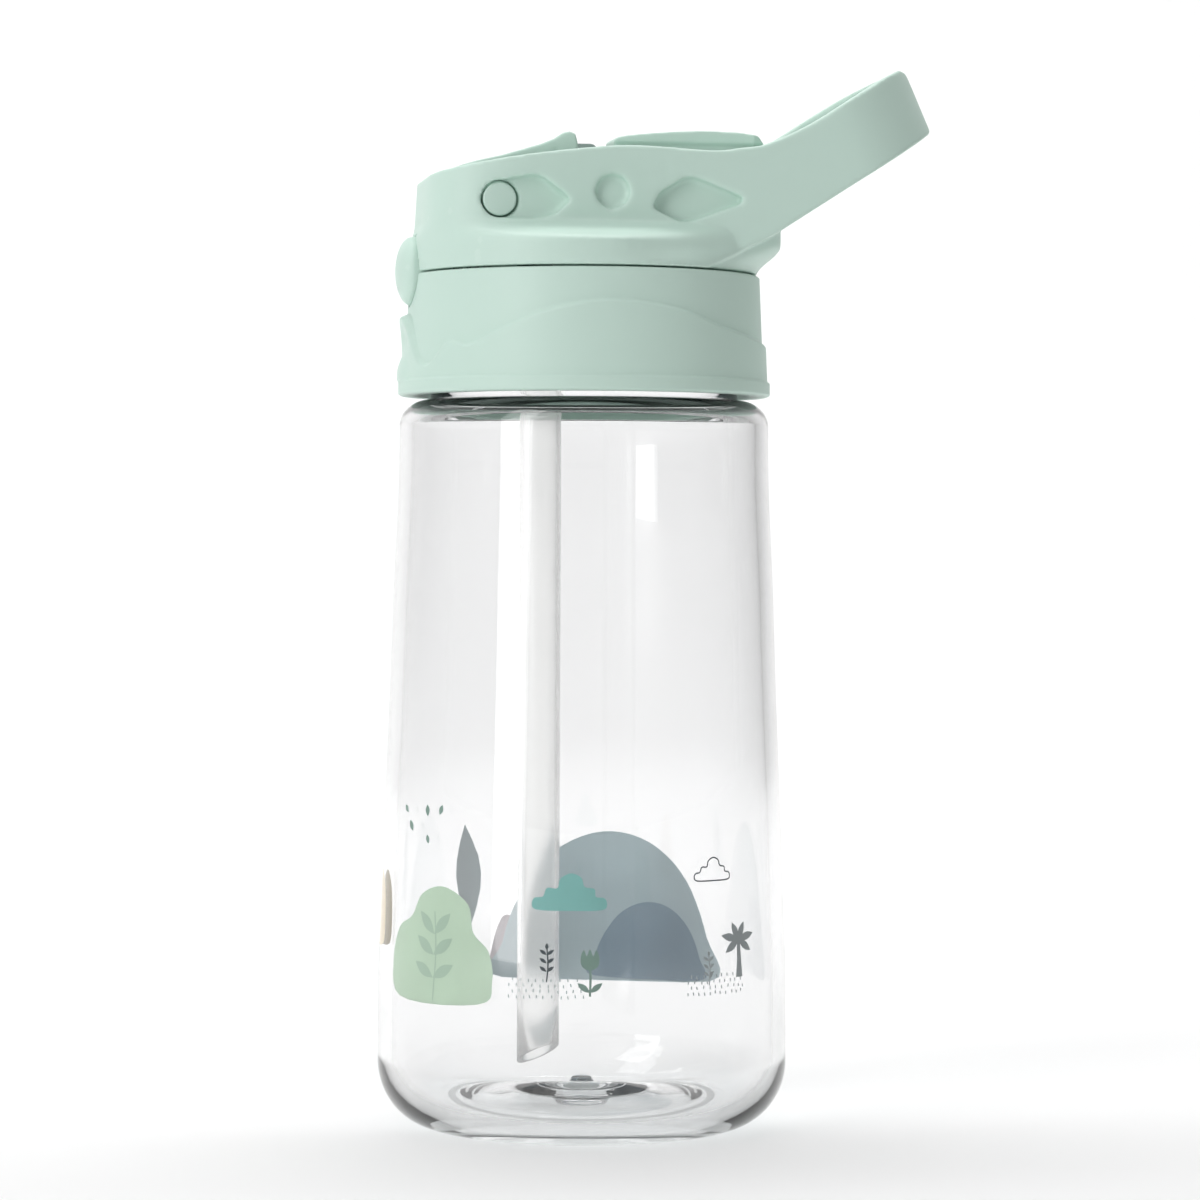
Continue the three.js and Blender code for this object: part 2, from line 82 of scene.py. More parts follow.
stage = {
    "halfWidth": 16.0,
    "near": -16.0,
    "far": 2.2,
    "curve": 0.8,
    "curveSteps": 12,
    "top": 4.0,
    "paint": (0.93, 0.93, 0.93, 1),
    "roughness": 0.7,
    "shine": 0.1,
    "roomLight": 0.33,
}


def makeStage():
    # a pale floor that curves up into a backdrop far behind
    bm = bmesh.new()
    wide, near, far, radius = (stage[k] for k in ("halfWidth", "near", "far", "curve"))
    rows = [(near, 0.0), (far - radius, 0.0)]
    for i in range(1, stage["curveSteps"] + 1):
        a = math.radians(90 * i / stage["curveSteps"])
        rows.append((far - radius + radius * math.sin(a), radius - radius * math.cos(a)))
    rows.append((far, stage["top"]))
    grid = [[bm.verts.new((x, y, z)) for x in (-wide, wide)] for y, z in rows]
    for low, high in zip(grid, grid[1:]):
        bm.faces.new((low[0], low[1], high[1], high[0]))
    mesh = bpy.data.meshes.new("paleFloor")
    bm.to_mesh(mesh)
    bm.free()
    for face in mesh.polygons:
        face.use_smooth = True
    floor = bpy.data.objects.new("paleFloor", mesh)
    bpy.context.collection.objects.link(floor)
    paint = bpy.data.materials.new("palePaint")
    paint.use_nodes = True
    shader = paint.node_tree.nodes["Principled BSDF"]
    shader.inputs["Base Color"].default_value = stage["paint"]
    shader.inputs["Roughness"].default_value = stage["roughness"]
    shader.inputs["Specular IOR Level"].default_value = stage["shine"]
    mesh.materials.append(paint)


lamps = [
    # name, place, aim, width, height, watts
    ("keyLeft", (-0.95, -0.75, 0.5), (0, 0, 0.11), 0.42, 1.9, 10.0),
    ("fillRight", (1.1, -0.55, 0.4), (0, 0, 0.11), 0.3, 1.9, 0.1),
    ("topSoft", (0.0, 0.1, 1.15), (0, 0, 0.11), 0.9, 0.7, 4.1),
    ("backGlow", (0.0, 0.5, 1.6), (0, 2.1, 0.6), 2.2, 1.2, 31.5),
]


def makeLights():
    for name, place, aim, width, height, watts in lamps:
        data = bpy.data.lights.new(name, "AREA")
        data.shape = "RECTANGLE"
        data.size = width
        data.size_y = height
        data.energy = watts
        lamp = bpy.data.objects.new(name, data)
        lamp.location = place
        lamp.rotation_euler = (Vector(aim) - Vector(place)).to_track_quat("-Z", "Y").to_euler()
        bpy.context.collection.objects.link(lamp)
    world = bpy.data.worlds.new("softRoom")
    bpy.context.scene.world = world
    world.use_nodes = True
    background = world.node_tree.nodes["Background"]
    background.inputs["Color"].default_value = (1, 1, 1, 1)
    background.inputs["Strength"].default_value = stage["roomLight"]
    bpy.context.scene.view_settings.view_transform = "Standard"


makeCamera()
makeStage()
makeLights()
print("stage, camera and lights are ready")


# shared effects, as node groups
firstColor, secondColor, mixedColor = 6, 7, 2  # a Mix node's colour sockets


def newGroup(name, inputs, outputs):
    group = bpy.data.node_groups.new(name, "ShaderNodeTree")
    for label, kind, value in inputs:
        socket = group.interface.new_socket(name=label, in_out="INPUT", socket_type=kind)
        if value is not None:
            socket.default_value = value
    for label, kind in outputs:
        group.interface.new_socket(name=label, in_out="OUTPUT", socket_type=kind)
    return group, group.nodes.new("NodeGroupInput"), group.nodes.new("NodeGroupOutput")


def addNode(tree, kind, **settings):
    node = tree.nodes.new(kind)
    for key, value in settings.items():
        setattr(node, key, value)
    return node


def objectNoise(tree, scaleSocket, detail=3.0, roughness=0.5):
    place = addNode(tree, "ShaderNodeTexCoord")
    noise = addNode(tree, "ShaderNodeTexNoise")
    noise.inputs["Detail"].default_value = detail
    noise.inputs["Roughness"].default_value = roughness
    tree.links.new(place.outputs["Object"], noise.inputs["Vector"])
    tree.links.new(scaleSocket, noise.inputs["Scale"])
    return noise


def makeToneDrift():
    # slow change of colour over a moulding: a little lighter here, a little deeper there
    group, ins, outs = newGroup(
        "toneDrift",
        [("Color", "NodeSocketColor", (0.5, 0.5, 0.5, 1)), ("Scale", "NodeSocketFloat", 30.0),
         ("Amount", "NodeSocketFloat", 0.05)],
        [("Color", "NodeSocketColor")])
    noise = objectNoise(group, ins.outputs["Scale"])
    centred = addNode(group, "ShaderNodeMath", operation="SUBTRACT")
    centred.inputs[1].default_value = 0.5
    scaled = addNode(group, "ShaderNodeMath", operation="MULTIPLY")
    value = addNode(group, "ShaderNodeMath", operation="ADD")
    value.inputs[1].default_value = 1.0
    tint = addNode(group, "ShaderNodeHueSaturation")
    group.links.new(noise.outputs["Fac"], centred.inputs[0])
    group.links.new(centred.outputs[0], scaled.inputs[0])
    group.links.new(ins.outputs["Amount"], scaled.inputs[1])
    group.links.new(scaled.outputs[0], value.inputs[0])
    group.links.new(value.outputs[0], tint.inputs["Value"])
    group.links.new(ins.outputs["Color"], tint.inputs["Color"])
    group.links.new(tint.outputs["Color"], outs.inputs["Color"])
    return group


def makeMouldGrain():
    # the fine spark-eroded grain of a matte mould, as a height and as a roughness
    group, ins, outs = newGroup(
        "mouldGrain",
        [("Scale", "NodeSocketFloat", 2500.0), ("Roughness", "NodeSocketFloat", 0.45),
         ("Spread", "NodeSocketFloat", 0.08)],
        [("Height", "NodeSocketFloat"), ("Roughness", "NodeSocketFloat")])
    fine = objectNoise(group, ins.outputs["Scale"], 2.0)
    coarseScale = addNode(group, "ShaderNodeMath", operation="MULTIPLY")
    coarseScale.inputs[1].default_value = 0.06
    group.links.new(ins.outputs["Scale"], coarseScale.inputs[0])
    coarse = objectNoise(group, coarseScale.outputs[0], 2.0)
    mixed = addNode(group, "ShaderNodeMath", operation="ADD")
    group.links.new(fine.outputs["Fac"], mixed.inputs[0])
    group.links.new(coarse.outputs["Fac"], mixed.inputs[1])
    spread = addNode(group, "ShaderNodeMath", operation="MULTIPLY_ADD")
    centred = addNode(group, "ShaderNodeMath", operation="SUBTRACT")
    centred.inputs[1].default_value = 0.5
    group.links.new(coarse.outputs["Fac"], centred.inputs[0])
    group.links.new(centred.outputs[0], spread.inputs[0])
    group.links.new(ins.outputs["Spread"], spread.inputs[1])
    group.links.new(ins.outputs["Roughness"], spread.inputs[2])
    group.links.new(mixed.outputs[0], outs.inputs["Height"])
    group.links.new(spread.outputs[0], outs.inputs["Roughness"])
    return group


def makePaleEdges():
    # corners and edges drawn a little paler where the surface bends sharply
    group, ins, outs = newGroup(
        "paleEdges",
        [("Color", "NodeSocketColor", (0.5, 0.5, 0.5, 1)),
         ("Rubbed", "NodeSocketColor", (0.7, 0.7, 0.7, 1)),
         ("Amount", "NodeSocketFloat", 0.3)],
        [("Color", "NodeSocketColor")])
    geometry = addNode(group, "ShaderNodeNewGeometry")
    ramp = addNode(group, "ShaderNodeMapRange")
    ramp.inputs["From Min"].default_value = 0.52
    ramp.inputs["From Max"].default_value = 0.6
    amount = addNode(group, "ShaderNodeMath", operation="MULTIPLY")
    mix = addNode(group, "ShaderNodeMix", data_type="RGBA")
    group.links.new(geometry.outputs["Pointiness"], ramp.inputs["Value"])
    group.links.new(ramp.outputs["Result"], amount.inputs[0])
    group.links.new(ins.outputs["Amount"], amount.inputs[1])
    group.links.new(amount.outputs[0], mix.inputs["Factor"])
    group.links.new(ins.outputs["Color"], mix.inputs[firstColor])
    group.links.new(ins.outputs["Rubbed"], mix.inputs[secondColor])
    group.links.new(mix.outputs[mixedColor], outs.inputs["Color"])
    return group


def makeHairlines():
    # fine wiping marks that run mostly round a part, as a height
    group, ins, outs = newGroup(
        "hairlines",
        [("Scale", "NodeSocketFloat", 90.0), ("Stretch", "NodeSocketVector", (1, 1, 8))],
        [("Height", "NodeSocketFloat")])
    place = addNode(group, "ShaderNodeTexCoord")
    stretched = addNode(group, "ShaderNodeVectorMath", operation="MULTIPLY")
    noise = addNode(group, "ShaderNodeTexNoise")
    noise.inputs["Detail"].default_value = 5.0
    group.links.new(place.outputs["Object"], stretched.inputs[0])
    group.links.new(ins.outputs["Stretch"], stretched.inputs[1])
    group.links.new(stretched.outputs[0], noise.inputs["Vector"])
    group.links.new(ins.outputs["Scale"], noise.inputs["Scale"])
    group.links.new(noise.outputs["Fac"], outs.inputs["Height"])
    return group


toneDrift = makeToneDrift()
mouldGrain = makeMouldGrain()
paleEdges = makePaleEdges()
hairlines = makeHairlines()


# materials
def newMaterial(name):
    material = bpy.data.materials.new(name)
    material.use_nodes = True
    return material, material.node_tree, material.node_tree.nodes["Principled BSDF"]


def placeGroup(tree, group, **values):
    node = addNode(tree, "ShaderNodeGroup", node_tree=group)
    for label, value in values.items():
        node.inputs[label].default_value = value
    return node


def addBump(tree, shader, height, distance, strength):
    bump = addNode(tree, "ShaderNodeBump")
    bump.inputs["Distance"].default_value = distance
    bump.inputs["Strength"].default_value = strength
    tree.links.new(height, bump.inputs["Height"])
    tree.links.new(bump.outputs["Normal"], shader.inputs["Normal"])


def addGrain(tree, shader, look):
    # a surface with uneven roughness and a fine bump
    grain = placeGroup(tree, mouldGrain, Scale=look["grain"], Roughness=look["roughness"],
                       Spread=look["spread"])
    tree.links.new(grain.outputs["Roughness"], shader.inputs["Roughness"])
    addBump(tree, shader, grain.outputs["Height"], look["bump"], look["bumpStrength"])


def addTone(tree, shader, color, look):
    drift = placeGroup(tree, toneDrift, Color=color, Scale=look["toneScale"], Amount=look["tone"])
    tree.links.new(drift.outputs["Color"], shader.inputs["Base Color"])


matteLook = {
    "toneScale": 35.0, "tone": 0.05, "paleEdge": 0.35,
    "grain": 2600.0, "roughness": 0.46, "spread": 0.1, "bump": 0.00004, "bumpStrength": 0.35,
    "ior": 1.47, "depth": 0.08, "depthRadius": (1.0, 1.0, 0.9), "depthScale": 0.0012,
}
insideLook = {**matteLook, "grain": 1800.0, "roughness": 0.5}


def mattePlastic(name, color, paleColor, look):
    material, tree, shader = newMaterial(name)
    drift = placeGroup(tree, toneDrift, Color=color, Scale=look["toneScale"], Amount=look["tone"])
    # edges and corners drawn paler, by how sharply the surface bends there
    paleEdge = placeGroup(tree, paleEdges, Rubbed=paleColor, Amount=look["paleEdge"])
    tree.links.new(drift.outputs["Color"], paleEdge.inputs["Color"])
    tree.links.new(paleEdge.outputs["Color"], shader.inputs["Base Color"])
    addGrain(tree, shader, look)
    shader.inputs["IOR"].default_value = look["ior"]
    shader.inputs["Subsurface Weight"].default_value = look["depth"]
    shader.inputs["Subsurface Radius"].default_value = look["depthRadius"]
    shader.inputs["Subsurface Scale"].default_value = look["depthScale"]
    return material


clearLook = {
    "facing": (0.925, 0.926, 0.928, 1),  # tone of the wall seen straight on
    "edge": (0.90, 0.903, 0.906, 1),  # painted shade: darker where the wall turns away from the camera
    "edgeShadeBlend": 0.3,
    "ior": 1.5,
    "lineScale": 60.0, "lineStretch": (1, 1, 0.22), "lineBump": 0.00012, "lineStrength": 0.1,
    "grain": 300.0, "roughness": 0.012, "spread": 0.012,
    "lightThrough": 0.95,
    "shadowTint": (0.97, 0.98, 0.98, 1),
}


def clearPlastic():
    look = clearLook
    material, tree, shader = newMaterial("clearPlastic")
    # painted shade: the wall's colour is drawn darker towards its outline, where it turns away from the
    # camera
    facing = addNode(tree, "ShaderNodeLayerWeight")
    facing.inputs["Blend"].default_value = look["edgeShadeBlend"]
    tone = addNode(tree, "ShaderNodeMix", data_type="RGBA")
    tone.inputs[firstColor].default_value = look["facing"]
    tone.inputs[secondColor].default_value = look["edge"]
    tree.links.new(facing.outputs["Facing"], tone.inputs["Factor"])
    tree.links.new(tone.outputs[mixedColor], shader.inputs["Base Color"])
    shader.inputs["Transmission Weight"].default_value = 1.0
    shader.inputs["IOR"].default_value = look["ior"]
    lines = placeGroup(tree, hairlines, Scale=look["lineScale"], Stretch=look["lineStretch"])
    rough = placeGroup(tree, mouldGrain, Scale=look["grain"], Roughness=look["roughness"],
                       Spread=look["spread"])
    tree.links.new(rough.outputs["Roughness"], shader.inputs["Roughness"])
    addBump(tree, shader, lines.outputs["Height"], look["lineBump"], look["lineStrength"])
    # light reaches the straw and the floor through the wall
    light = addNode(tree, "ShaderNodeLightPath")
    share = addNode(tree, "ShaderNodeMath", operation="MULTIPLY")
    share.inputs[1].default_value = look["lightThrough"]
    passing = addNode(tree, "ShaderNodeBsdfTransparent")
    passing.inputs["Color"].default_value = look["shadowTint"]
    mix = addNode(tree, "ShaderNodeMixShader")
    tree.links.new(light.outputs["Is Shadow Ray"], share.inputs[0])
    tree.links.new(share.outputs[0], mix.inputs["Fac"])
    tree.links.new(shader.outputs[0], mix.inputs[1])
    tree.links.new(passing.outputs[0], mix.inputs[2])
    tree.links.new(mix.outputs[0], tree.nodes["Material Output"].inputs["Surface"])
    return material


milkyLook = {
    "color": (0.99, 0.99, 0.985, 1),
    "toneScale": 60.0, "tone": 0.04,
    "grain": 900.0, "roughness": 0.22, "spread": 0.12, "bump": 0.00003, "bumpStrength": 0.3,
    "seeThrough": 0.88,
    "carriedLight": 0.06,  # stands in for light that travels along the tube
    "ior": 1.4,
}


def milkyPlastic():
    material, tree, shader = newMaterial("milkyPlastic")
    addTone(tree, shader, milkyLook["color"], milkyLook)
    addGrain(tree, shader, milkyLook)
    shader.inputs["Transmission Weight"].default_value = milkyLook["seeThrough"]
    shader.inputs["Emission Color"].default_value = (1, 1, 1, 1)
    shader.inputs["Emission Strength"].default_value = milkyLook["carriedLight"]
    shader.inputs["IOR"].default_value = milkyLook["ior"]
    return material


siliconeLook = {
    "toneScale": 50.0, "tone": 0.1,
    "grain": 1800.0, "roughness": 0.55, "spread": 0.15, "bump": 0.00003, "bumpStrength": 0.4,
    "shine": 0.3,
}


def softSilicone(name, color):
    material, tree, shader = newMaterial(name)
    addTone(tree, shader, color, siliconeLook)
    addGrain(tree, shader, siliconeLook)
    shader.inputs["Specular IOR Level"].default_value = siliconeLook["shine"]
    return material


steelLook = {
    "color": (0.6, 0.61, 0.62, 1),
    "toneScale": 400.0, "tone": 0.2,
    "lineScale": 2500.0, "lineStretch": (1, 1, 6), "lineBump": 0.00002, "lineStrength": 0.4,
    "grain": 3000.0, "roughness": 0.28, "spread": 0.2,
}


def springSteel():
    look = steelLook
    material, tree, shader = newMaterial("springSteel")
    shader.inputs["Metallic"].default_value = 1.0
    addTone(tree, shader, look["color"], look)
    lines = placeGroup(tree, hairlines, Scale=look["lineScale"], Stretch=look["lineStretch"])
    grain = placeGroup(tree, mouldGrain, Scale=look["grain"], Roughness=look["roughness"],
                       Spread=look["spread"])
    tree.links.new(grain.outputs["Roughness"], shader.inputs["Roughness"])
    addBump(tree, shader, lines.outputs["Height"], look["lineBump"], look["lineStrength"])
    return material


inkLook = {
    "toneScale": 140.0, "tone": 0.1,
    "grain": 2400.0, "roughness": 0.42, "spread": 0.25, "bump": 0.00002, "bumpStrength": 0.5,
}


def printInk(name, color):
    # screen-printed ink: slightly uneven cover and a satin surface
    material, tree, shader = newMaterial(name)
    addTone(tree, shader, (*color, 1), inkLook)
    addGrain(tree, shader, inkLook)
    return material


mint = mattePlastic("mintPlastic", (0.585, 0.755, 0.675, 1), (0.66, 0.81, 0.74, 1), matteLook)
mintInside = mattePlastic("mintInsidePlastic", (0.5, 0.68, 0.6, 1), (0.6, 0.75, 0.68, 1), insideLook)
clear = clearPlastic()
milky = milkyPlastic()
silicone = softSilicone("softSilicone", (0.12, 0.19, 0.165, 1))
sealSilicone = softSilicone("sealSilicone", (0.36, 0.58, 0.49, 1))
steel = springSteel()
print("materials are mixed")


# making and placing pieces
def addPiece(name, mesh, material, body, replaces=(), smooth=True):
    piece = bpy.data.objects.new(name, mesh)
    bpy.context.collection.objects.link(piece)
    mesh.materials.clear()
    mesh.materials.append(material)
    for face in mesh.polygons:
        face.use_smooth = smooth
    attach(piece, body)
    if replaces:
        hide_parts(*replaces)
    return piece


def finishMesh(name, bm):
    bmesh.ops.recalc_face_normals(bm, faces=bm.faces)
    mesh = bpy.data.meshes.new(name)
    bm.to_mesh(mesh)
    bm.free()
    return mesh


def turnedMesh(name, profile, segments=128, closed=False):
    # profile holds (radius, height) in mm, or is a function of the angle that gives them
    at = profile if callable(profile) else lambda angle: profile
    bm = bmesh.new()
    rings = []
    onAxis = {}
    for i in range(segments):
        angle = 2 * math.pi * i / segments
        ring = []
        for j, (r, z) in enumerate(at(angle)):
            if r < 1e-6:
                if j not in onAxis:
                    onAxis[j] = bm.verts.new((0, 0, z * mm))
                ring.append(onAxis[j])
            else:
                ring.append(bm.verts.new((r * mm * math.cos(angle), r * mm * math.sin(angle), z * mm)))
        rings.append(ring)
    count = len(rings[0])
    for i, ring in enumerate(rings):
        after = rings[(i + 1) % segments]
        for j in range(count if closed else count - 1):
            k = (j + 1) % count
            corners = list(dict.fromkeys((ring[j], after[j], after[k], ring[k])))
            if len(corners) > 2:
                bm.faces.new(corners)
    return finishMesh(name, bm)


def rounded(points, radius, steps=4):
    # the same outline with its inner corners rounded
    result = [points[0]]
    for before, corner, after in zip(points, points[1:], points[2:]):
        b, c, a = (Vector(p) for p in (before, corner, after))
        back = min(radius, (b - c).length * 0.45)
        ahead = min(radius, (a - c).length * 0.45)
        start = c + (b - c).normalized() * back
        end = c + (a - c).normalized() * ahead
        for i in range(steps + 1):
            t = i / steps
            result.append(tuple(start * (1 - t) ** 2 + c * 2 * t * (1 - t) + end * t * t))
    return result + [points[-1]]


def throughPoints(points, steps=8, loop=False):
    # a smooth curve through the points
    count = len(points)
    result = []
    for i in range(count if loop else count - 1):
        if loop:
            a, b, c, d = (Vector(points[k % count]) for k in (i - 1, i, i + 1, i + 2))
        else:
            a, b, c, d = (Vector(points[min(max(k, 0), count - 1)]) for k in (i - 1, i, i + 1, i + 2))
        for s in range(steps):
            t = s / steps
            result.append(tuple(0.5 * (2 * b + (c - a) * t + (2 * a - 5 * b + 4 * c - d) * t ** 2
                                       + (3 * b - a - 3 * c + d) * t ** 3)))
    return result if loop else result + [tuple(points[-1])]


def heightAlong(points, x):
    # smooth height at x through (x, height) points
    k = max(1, next((i for i, p in enumerate(points) if p[0] >= x), len(points) - 1))
    slope = []
    for i in (k - 1, k):
        if 0 < i < len(points) - 1:
            slope.append((points[i + 1][1] - points[i - 1][1]) / (points[i + 1][0] - points[i - 1][0]))
        else:
            slope.append(0.0)
    (x0, y0), (x1, y1) = points[k - 1], points[k]
    span = x1 - x0
    t = min(max((x - x0) / span, 0), 1)
    return ((1 + 2 * t) * (1 - t) ** 2 * y0 + t * (1 - t) ** 2 * span * slope[0]
            + t * t * (3 - 2 * t) * y1 + t * t * (t - 1) * span * slope[1])


def smoothStep(x, low, high):
    t = min(max((x - low) / (high - low), 0), 1)
    return t * t * (3 - 2 * t)


def arcPoints(centre, width, height, start, end, count):
    turns = [math.radians(start + (end - start) * i / (count - 1)) for i in range(count)]
    return [(centre[0] + width * math.cos(a), centre[1] + height * math.sin(a)) for a in turns]


def laidAlong(mesh, axis, place):
    # a turned mesh, laid along X or Y, at a place in mm
    turn = Matrix.Rotation(math.pi / 2, 4, "Y") if axis == "X" else Matrix.Rotation(-math.pi / 2, 4, "X")
    mesh.transform(Matrix.Translation(Vector(place) * mm) @ turn)
    return mesh


def bakedMesh(obj):
    # the object's mesh with its modifiers applied
    bpy.context.view_layer.update()
    evaluated = obj.evaluated_get(bpy.context.evaluated_depsgraph_get())
    mesh = bpy.data.meshes.new_from_object(evaluated)
    bpy.data.objects.remove(obj)
    return mesh


def softenedCopy(name, node, voxel, rounds, bend=None):
    # the node's solid with fine faces and softly rounded edges, as a moulding has
    draft = bpy.data.objects.new(name + "Draft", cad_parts[node].data.copy())
    bpy.context.collection.objects.link(draft)
    weld = draft.modifiers.new("weld", "WELD")
    weld.merge_threshold = 0.002 * mm
    remesh = draft.modifiers.new("remesh", "REMESH")
    remesh.mode = "VOXEL"
    remesh.voxel_size = voxel * mm
    soften = draft.modifiers.new("soften", "SMOOTH")
    soften.factor = 0.5
    soften.iterations = rounds
    mesh = bakedMesh(draft)
    if bend:
        for vertex in mesh.vertices:
            vertex.co = bend(vertex.co)
    mesh.name = name
    return mesh


# bottle
bottle = {
    "wall": 2.5,
    "trim": 0.05,  # how far the clear surface stays inside the solid
    "side": [(37, 26), (36.5, 40), (35.9, 58), (35.1, 77), (34.5, 95), (33.5, 122)],
    "sideLow": 14, "sideHigh": 122, "sideStep": 2,
    "corner": {"radius": 26, "width": 11, "height": 12},
    "shoulder": {"radius": 28.5, "width": 5, "height": 4.9, "z": 126},
    "neck": {"outer": 27.8, "inner": 25.2, "top": 143.5},
    "threads": {"z": (134, 138.5), "radius": 28.9, "height": 1.6},
    "base": {"ringInner": 22, "recess": 2.4, "arch": 1.4, "pad": 4.5,
             "floorEdge": 3.4, "floorCentre": 7.4, "nub": 1.9},
}


def outerRadius(z):
    points = sorted((h, r) for r, h in bottle["side"])
    corner = bottle["corner"]
    if z < corner["height"]:
        lift = 1 - z / corner["height"]
        return corner["radius"] + corner["width"] * math.sqrt(max(0, 1 - lift * lift)) - bottle["trim"]
    if z < points[0][0]:
        return bottle["side"][0][0] - bottle["trim"]
    return heightAlong(points, z) - bottle["trim"]


def bottleUnder():
    corner, base = bottle["corner"], bottle["base"]
    pad, ringInner, recess = base["pad"], base["ringInner"], base["recess"]
    return rounded([(0, 0), (pad, 0), (pad + 0.8, recess), (pad + 3, recess + base["arch"]),
                    (pad + 7.5, recess + 1), (ringInner - 6, recess), (ringInner - 2, recess / 2),
                    (ringInner, 0), (corner["radius"] - 1, 0)], 1.6)


def bottleNeck():
    shoulder, neck, threads = (bottle[k] for k in ("shoulder", "neck", "threads"))
    outer, crest, high = neck["outer"], threads["radius"], threads["height"]
    side = [(outer, shoulder["z"] + shoulder["height"] + 0.3)]
    for z in threads["z"]:
        side += rounded([(outer, z - 0.6), (outer, z - 0.4), (crest, z), (crest, z + high - 0.4),
                         (outer, z + high), (outer, z + high + 0.3)], 0.4, 3)
    return side + rounded([(outer, neck["top"] - 1), (outer, neck["top"]), (neck["inner"], neck["top"]),
                           (neck["inner"], neck["top"] - 1)], 0.7)


def bottleFloor(start):
    # the inside of the floor, from the wall to the small nub in the middle
    base = bottle["base"]
    centre, nub = base["floorCentre"], base["nub"]
    return throughPoints([start, (base["ringInner"] - 1, base["floorEdge"]), (15, 5), (8, 6.7),
                          (3.4, centre - 0.05), (2.4, centre + 0.1), (1.7, centre + nub * 0.72),
                          (0.8, centre + nub * 0.97), (0, centre + nub)], 6)[1:]


def bottleProfile():
    corner, shoulder, neck = (bottle[k] for k in ("corner", "shoulder", "neck"))
    wall, trim = bottle["wall"], bottle["trim"]
    low, high, step = (bottle[k] for k in ("sideLow", "sideHigh", "sideStep"))
    bend = arcPoints((corner["radius"], corner["height"]), corner["width"] - trim, corner["height"],
                     -86, 0, 26)
    side = [(outerRadius(z), z) for z in range(low, high, step)]
    top = arcPoints((shoulder["radius"], shoulder["z"]), shoulder["width"] - trim, shoulder["height"],
                    8, 90, 18)
    innerShoulder = arcPoints((shoulder["radius"], shoulder["z"]), shoulder["width"] - wall,
                              shoulder["height"] - wall, 80, 8, 14)
    innerNeck = rounded([(neck["inner"], neck["top"] - 1.2), (neck["inner"], innerShoulder[0][1] + 0.4),
                         innerShoulder[0]], 1.5)
    innerSide = [(outerRadius(z) - wall, z) for z in range(high - step, low - step, -step)]
    innerBend = arcPoints((corner["radius"], corner["height"] + 1), corner["width"] - wall,
                          corner["height"] - wall, -2, -82, 22)
    outside = bottleUnder() + bend + side + top + bottleNeck()
    inside = innerNeck + innerShoulder[1:] + innerSide + innerBend + bottleFloor(innerBend[-1])
    return outside + inside


addPiece("bottleShell", turnedMesh("bottleShell", bottleProfile(), 192), clear, "bottle",
         ("bottle_body",))
print("bottle is turned")


# screw collar
collar = {
    "bottom": 131.7, "top": 153.3, "inner": 30.2,
    "lowWall": 32.6, "highWall": 31.7,
    "lip": 33.65, "lipHeight": 2.7,
    "proud": 0.7, "beakProud": 1.5, "beakHalfAngle": 14, "beakLean": 0.8,
    # height of the wavy edge by the angle from the front, in degrees
    "wave": [(0, 146), (6, 145), (10, 142.4), (17, 137.6), (24, 136.8), (34, 140.6), (42, 139.8),
             (54, 142.4), (69, 145.6), (90, 147.5), (114, 145.8), (130, 143.3), (155, 141.4),
             (180, 140.7)],
    "rowHeight": 0.22,
    "threads": (137.6, 133.3), "threadRadius": 29.25,
}
buttonPlace = {
    "x": -32, "z": 154, "radius": 6.15, "dome": 2.4,
    "back": 5.6, "flange": 1, "flangeThick": 1.2, "stem": 2.2, "stemLength": 5.9,
    "pocket": 6.5, "pocketFrom": -37, "pocketLength": 10,
    "flatFrom": -27.8, "flatHigh": 149.3,
}


def collarProfile(angle):
    c = collar
    fromFront = abs(math.degrees(angle) - 180)
    edge = heightAlong(c["wave"], fromFront)
    beak = 1 - smoothStep(fromFront, 2, c["beakHalfAngle"])
    proud = c["proud"] + (c["beakProud"] - c["proud"]) * beak
    rows = int((c["top"] - c["bottom"]) / c["rowHeight"])
    points = []
    for i in range(rows + 1):
        z = c["bottom"] + (c["top"] - c["bottom"]) * i / rows
        share = (z - c["bottom"]) / (c["top"] - c["bottom"])
        r = c["lowWall"] + (c["highWall"] - c["lowWall"]) * share
        band = 1 - smoothStep(z, edge - 0.4, edge + 0.5)
        # the band leans out towards its edge, most of all at the beak
        lean = 1 - c["beakLean"] * beak * smoothStep(edge - z, 0.4, 4) * (1 - smoothStep(edge - z, 5, 10))
        r += proud * band * lean
        inLip = 1 - smoothStep(z, c["bottom"] + c["lipHeight"] - 0.35, c["bottom"] + c["lipHeight"] + 0.15)
        r += (c["lip"] - r) * inLip
        for end, size in ((c["bottom"], 0.5), (c["top"], 0.2)):
            near = max(0, 1 - abs(z - end) / size)
            r -= size * (1 - math.sqrt(max(0, 1 - near * near)))
        points.append((r, z))
    inside = [(c["inner"], c["top"])]
    for z in c["threads"]:
        inside += [(c["inner"], z + 0.9), (c["threadRadius"], z + 0.4), (c["threadRadius"], z - 0.5),
                   (c["inner"], z - 0.9)]
    return points + inside + [(c["inner"], c["bottom"])]


def cutRound(name, mesh, radius, place, length):
    # a round pocket cut through a mesh, along X
    body = bpy.data.objects.new(name + "Draft", mesh)
    drill = bpy.data.objects.new(name + "Drill", laidAlong(
        turnedMesh(name + "Drill", [(0, 0), (radius, 0), (radius, length), (0, length)], 96), "X", place))
    for obj in (body, drill):
        bpy.context.collection.objects.link(obj)
    cut = body.modifiers.new("cut", "BOOLEAN")
    cut.operation = "DIFFERENCE"
    cut.solver = "EXACT"
    cut.object = drill
    done = bakedMesh(body)
    bpy.data.objects.remove(drill)
    return done


collarMesh = turnedMesh("screwCollar", collarProfile, 360, closed=True)
collarMesh = cutRound("screwCollar", collarMesh, buttonPlace["pocket"],
                      (buttonPlace["pocketFrom"], 0, buttonPlace["z"]), buttonPlace["pocketLength"])
addPiece("screwCollar", collarMesh, mint, "lid", ("screw_collar",))
print("collar is turned")


